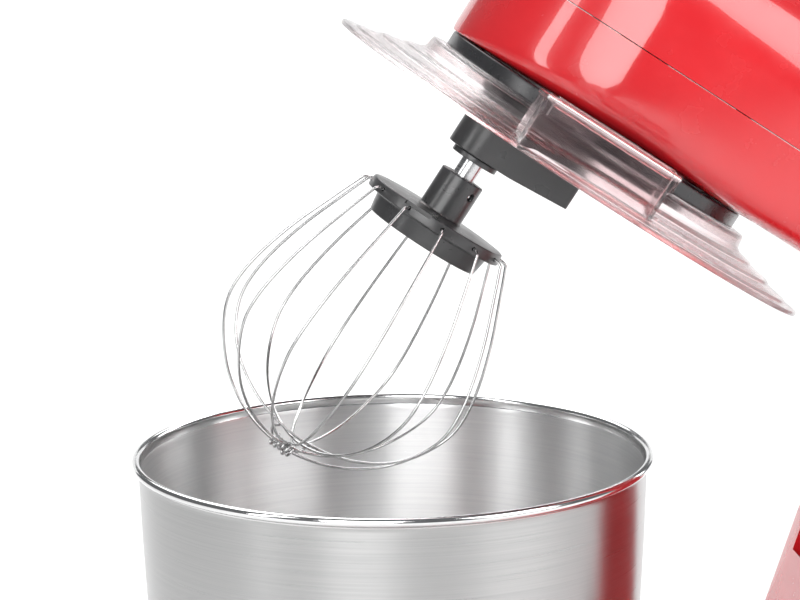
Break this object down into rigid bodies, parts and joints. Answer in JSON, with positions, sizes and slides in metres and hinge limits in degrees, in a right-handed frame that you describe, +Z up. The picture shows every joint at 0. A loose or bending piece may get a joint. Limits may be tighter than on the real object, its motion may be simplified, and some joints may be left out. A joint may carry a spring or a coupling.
{
  "type": "stand mixer",
  "caption": "Tilt-head stand mixer, head raised, with a planetary balloon whisk, a clear splash guard with a filling chute, and a steel bowl on its base.",
  "frame": {"origin": "on the table under the middle of the whole mixer, head raised", "axes": "+Z up, nose and bowl towards -X, column towards +X, the user's side towards -Y"},
  "size_m": [0.3939, 0.2292, 0.4317],
  "materials": {
    "red_enamel": "gloss",
    "black_plastic": "satin",
    "rubber": "matte",
    "chrome": "polished",
    "brushed_steel": "brushed",
    "steel": "satin",
    "cast_aluminium": "as cast",
    "copper": "satin",
    "nylon": "satin",
    "circuit_board": "satin",
    "clear_plastic": "clear gloss"
  },
  "bodies": {
    "base": {"base_shell": "red_enamel", "base_plate": "black_plastic", "foot_front_near": "rubber", "foot_front_far": "rubber", "foot_rear_near": "rubber", "foot_rear_far": "rubber", "bowl_socket": "black_plastic", "hinge_pin": "steel", "hinge_cap_near": "chrome", "hinge_cap_far": "chrome", "control_board": "circuit_board", "speed_switch": "black_plastic", "dial_plate": "chrome", "power_light": "clear_plastic", "cord_gland": "rubber", "latch_spring": "steel"},
    "dial": {"speed_knob": "black_plastic"},
    "lever": {"latch_lever": "black_plastic"},
    "bolt": {"lock_bolt": "steel"},
    "bowl": {"bowl": "brushed_steel"},
    "head": {"head_lower_shell": "red_enamel", "head_upper_shell": "red_enamel", "trim_ring": "black_plastic", "gear_frame": "cast_aluminium", "bearing_bridge": "cast_aluminium", "main_bearing_lower": "steel", "main_bearing_upper": "steel", "ring_gear": "cast_aluminium", "motor_can": "steel", "motor_end_cap": "black_plastic", "brush_near": "copper", "brush_far": "copper", "drive_belt": "rubber"},
    "motor_rotor": {"motor_shaft": "steel", "armature": "copper", "commutator": "copper", "motor_pulley": "steel", "motor_fan": "black_plastic"},
    "idler": {"idler_shaft": "steel", "idler_pulley": "black_plastic", "idler_pinion": "nylon"},
    "planet": {"main_shaft": "steel", "main_gear": "nylon", "planet_arm": "black_plastic", "arm_bush": "black_plastic"},
    "tool_spindle": {"tool_shaft": "steel", "drive_pin": "steel", "planet_pinion": "nylon"},
    "whisk": {"whisk_hub": "black_plastic", "tip_binding": "steel", "wire_loop_1": "steel", "wire_loop_2": "steel", "wire_loop_3": "steel", "wire_loop_4": "steel", "wire_loop_5": "steel", "wire_loop_6": "steel"},
    "guard": {"splash_guard": "clear_plastic"},
    "flap": {"guard_flap": "clear_plastic", "flap_pin": "steel"}
  },
  "joints": [
    {"name": "head_tilt", "type": "hinge", "parent": "base", "child": "head", "pos_m": [0.14505, 0, 0.1345], "axis": [0, 1, 0], "range_deg": [-33.8, 0]},
    {"name": "planet_spin", "type": "hinge", "parent": "head", "child": "planet", "pos_m": [-0.00947, 0, 0.31677], "axis": [0.5563, 0, 0.831], "continuous": true},
    {"name": "tool_spin", "type": "hinge", "parent": "planet", "child": "tool_spindle", "pos_m": [-0.03939, 0, 0.33679], "axis": [0.5563, 0, 0.831], "continuous": true},
    {"name": "idler_spin", "type": "hinge", "parent": "head", "child": "idler", "pos_m": [0.06155, 0, 0.32939], "axis": [0.5563, 0, 0.831], "continuous": true},
    {"name": "motor_spin", "type": "hinge", "parent": "head", "child": "motor_rotor", "pos_m": [0.11806, 0, 0.29156], "axis": [0.5563, 0, 0.831], "continuous": true},
    {"name": "whisk_release", "type": "slide", "parent": "tool_spindle", "child": "whisk", "axis": [-0.5563, 0, -0.831], "range_m": [0, 0.026]},
    {"name": "bowl_lift", "type": "slide", "parent": "base", "child": "bowl", "axis": [0, 0, 1], "range_m": [0, 0.06]},
    {"name": "guard_release", "type": "slide", "parent": "head", "child": "guard", "axis": [-0.5563, 0, -0.831], "range_m": [0, 0.02]},
    {"name": "guard_flap_hinge", "type": "hinge", "parent": "guard", "child": "flap", "pos_m": [-0.00789, -0.1022, 0.34699], "axis": [0.831, 0, -0.5563], "range_deg": [0, 95]},
    {"name": "speed_dial", "type": "hinge", "parent": "base", "child": "dial", "pos_m": [0.12725, -0.06, 0.08], "axis": [0, -1, 0], "range_deg": [-270, 0]},
    {"name": "latch_turn", "type": "hinge", "parent": "base", "child": "lever", "pos_m": [0.13725, 0.058, 0.08], "axis": [0, 1, 0], "range_deg": [0, 22], "stiffness_Nm_per_rad": 0.35, "springref_deg": -20.05},
    {"name": "bolt_slide", "type": "slide", "parent": "base", "child": "bolt", "axis": [0, 0, -1], "range_m": [0, 0.0037]}
  ],
  "couplings": [
    {"joint": "tool_spin", "follows": "planet_spin", "ratio": -5},
    {"joint": "idler_spin", "follows": "planet_spin", "ratio": -4.7778},
    {"joint": "motor_spin", "follows": "planet_spin", "ratio": -19.111},
    {"joint": "bolt_slide", "follows": "latch_turn", "m_per_rad": 0.009}
  ]
}
